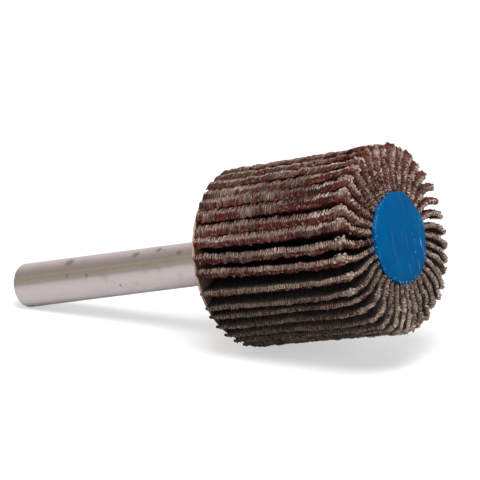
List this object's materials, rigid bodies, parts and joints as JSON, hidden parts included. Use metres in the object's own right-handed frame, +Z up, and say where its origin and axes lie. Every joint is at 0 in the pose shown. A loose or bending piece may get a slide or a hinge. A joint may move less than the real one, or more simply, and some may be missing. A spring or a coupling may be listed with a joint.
{
  "type": "flap wheel",
  "caption": "Small abrasive flap wheel on a plain steel shank: coated cloth flaps stand radially round a domed blue resin hub, backed by a fibre disc.",
  "frame": {"origin": "on the surface it rests on, below the centre of the object's box", "axes": "+Z up as it lies; +X runs from the shank's free end towards the blue front, level; the wheel's own axis rises towards +X by about 14 degrees in the XZ plane"},
  "size_m": [0.0634, 0.0254, 0.0299],
  "materials": {
    "shank_steel": "zinc-plated turned steel, satin with small dark pits",
    "hub_resin": "cast blue resin, semi-gloss with fine scratches",
    "disc_fibre": "tan pressed fibre, matt",
    "flap_cloth": "cloth-backed aluminium oxide abrasive, frayed edges, matt"
  },
  "bodies": {
    "root": {"shank": "shank_steel", "resin_hub": "hub_resin", "back_disc": "disc_fibre", "flap_01": "flap_cloth", "flap_02": "flap_cloth", "flap_03": "flap_cloth", "flap_04": "flap_cloth", "flap_05": "flap_cloth", "flap_06": "flap_cloth", "flap_07": "flap_cloth", "flap_08": "flap_cloth", "flap_09": "flap_cloth", "flap_10": "flap_cloth", "flap_11": "flap_cloth", "flap_12": "flap_cloth", "flap_13": "flap_cloth", "flap_14": "flap_cloth", "flap_15": "flap_cloth", "flap_16": "flap_cloth", "flap_17": "flap_cloth", "flap_18": "flap_cloth", "flap_19": "flap_cloth", "flap_20": "flap_cloth", "flap_21": "flap_cloth", "flap_22": "flap_cloth", "flap_23": "flap_cloth", "flap_24": "flap_cloth", "flap_25": "flap_cloth", "flap_26": "flap_cloth", "flap_27": "flap_cloth", "flap_28": "flap_cloth", "flap_29": "flap_cloth", "flap_30": "flap_cloth", "flap_31": "flap_cloth", "flap_32": "flap_cloth", "flap_33": "flap_cloth", "flap_34": "flap_cloth", "flap_35": "flap_cloth", "flap_36": "flap_cloth", "flap_37": "flap_cloth", "flap_38": "flap_cloth"}
  },
  "joints": []
}
